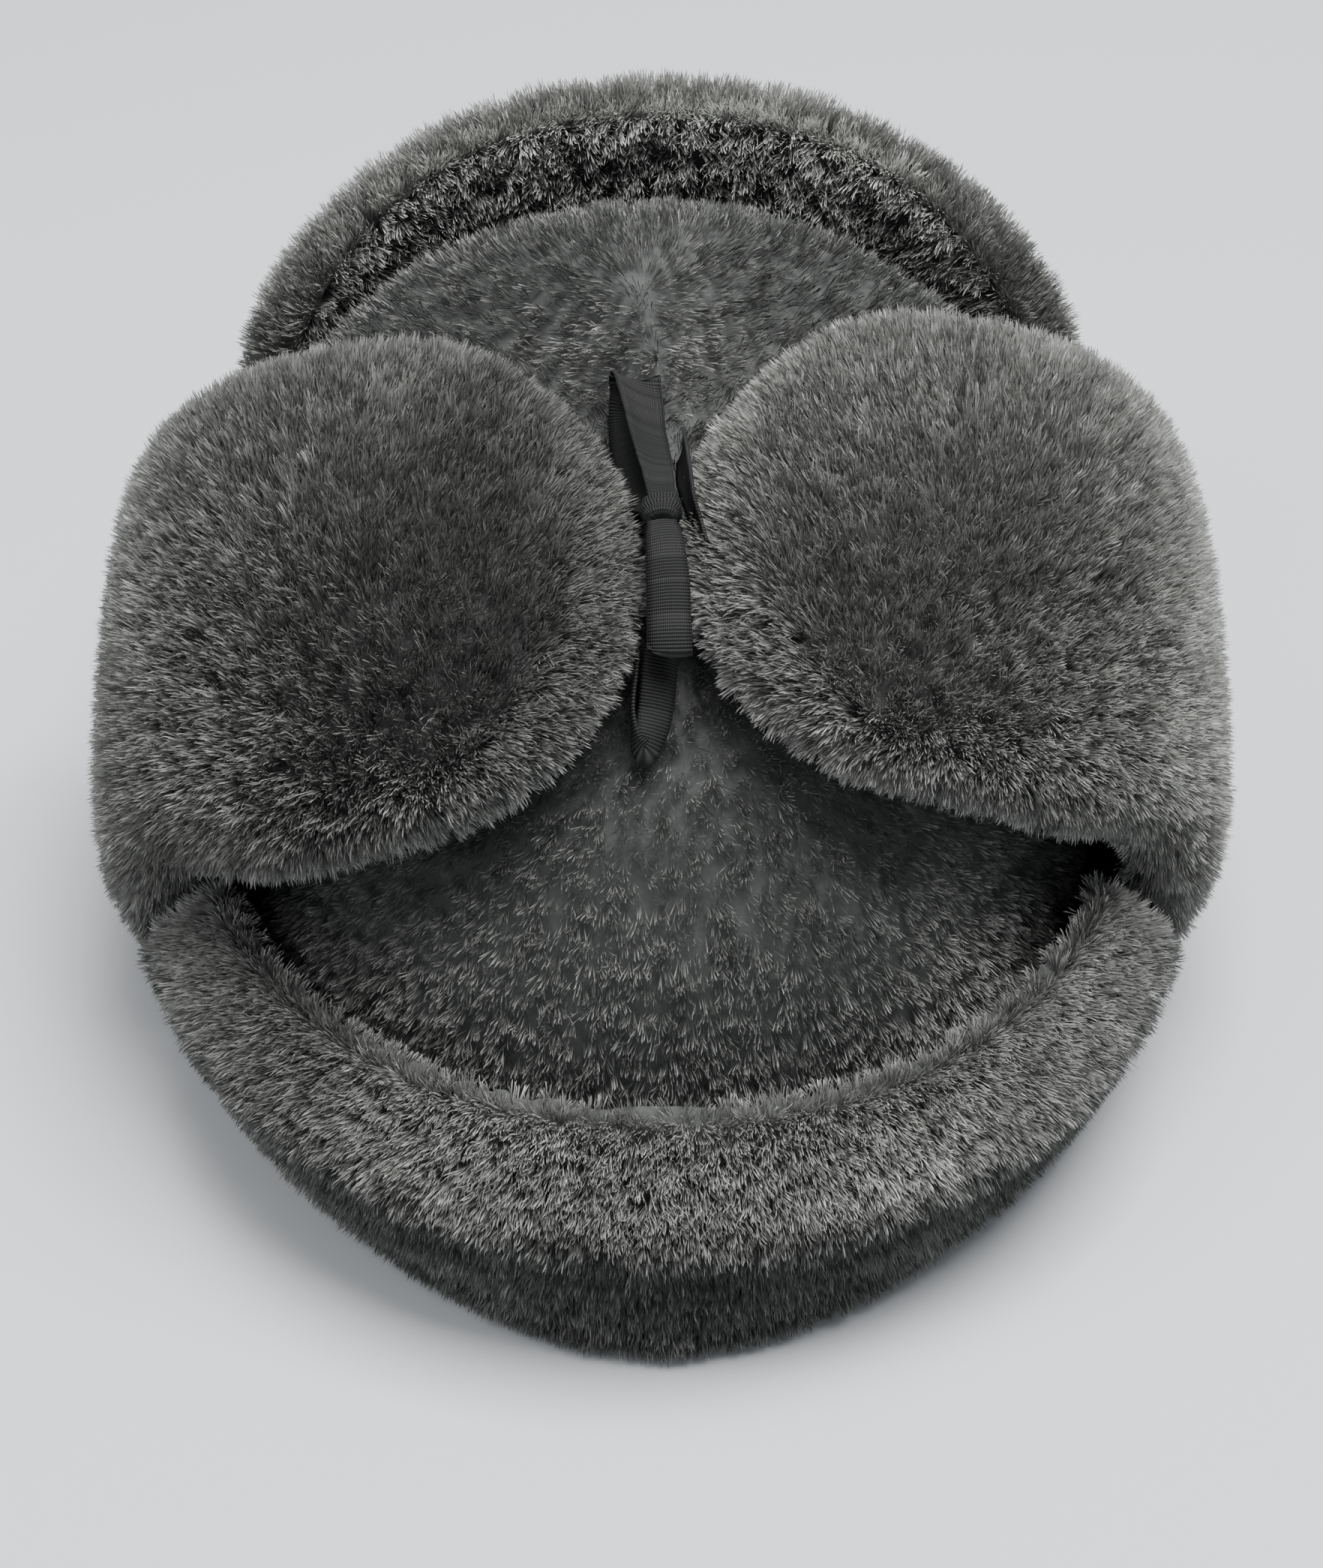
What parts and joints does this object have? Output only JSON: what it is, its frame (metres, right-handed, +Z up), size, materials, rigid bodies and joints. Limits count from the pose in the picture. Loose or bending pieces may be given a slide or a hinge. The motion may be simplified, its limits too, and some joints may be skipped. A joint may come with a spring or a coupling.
{
  "type": "ushanka",
  "caption": "Soft winter hat of short grey artificial fur, with its ear flaps folded up over the crown and tied together by a black ribbon bow.",
  "frame": {"origin": "on the surface the hat rests on, at the bottom centre of its bounding box", "axes": "+Z up; the wearer faces -Y, so the nape flap is at +Y; +X is the wearer's left"},
  "size_m": [0.2486, 0.2732, 0.1584],
  "materials": {
    "crown_fur": "short plush pile",
    "flap_fur": "short plush pile",
    "ribbon": "ribbed weave"
  },
  "bodies": {
    "root": {"crown": "crown_fur", "front_flap": "flap_fur", "ear_flap_left": "flap_fur", "ear_flap_right": "flap_fur", "nape_flap": "flap_fur", "tie_knot": "ribbon", "tie_loop_upper": "ribbon", "tie_loop_lower": "ribbon", "tie_end_left": "ribbon", "tie_end_right": "ribbon"}
  },
  "joints": []
}
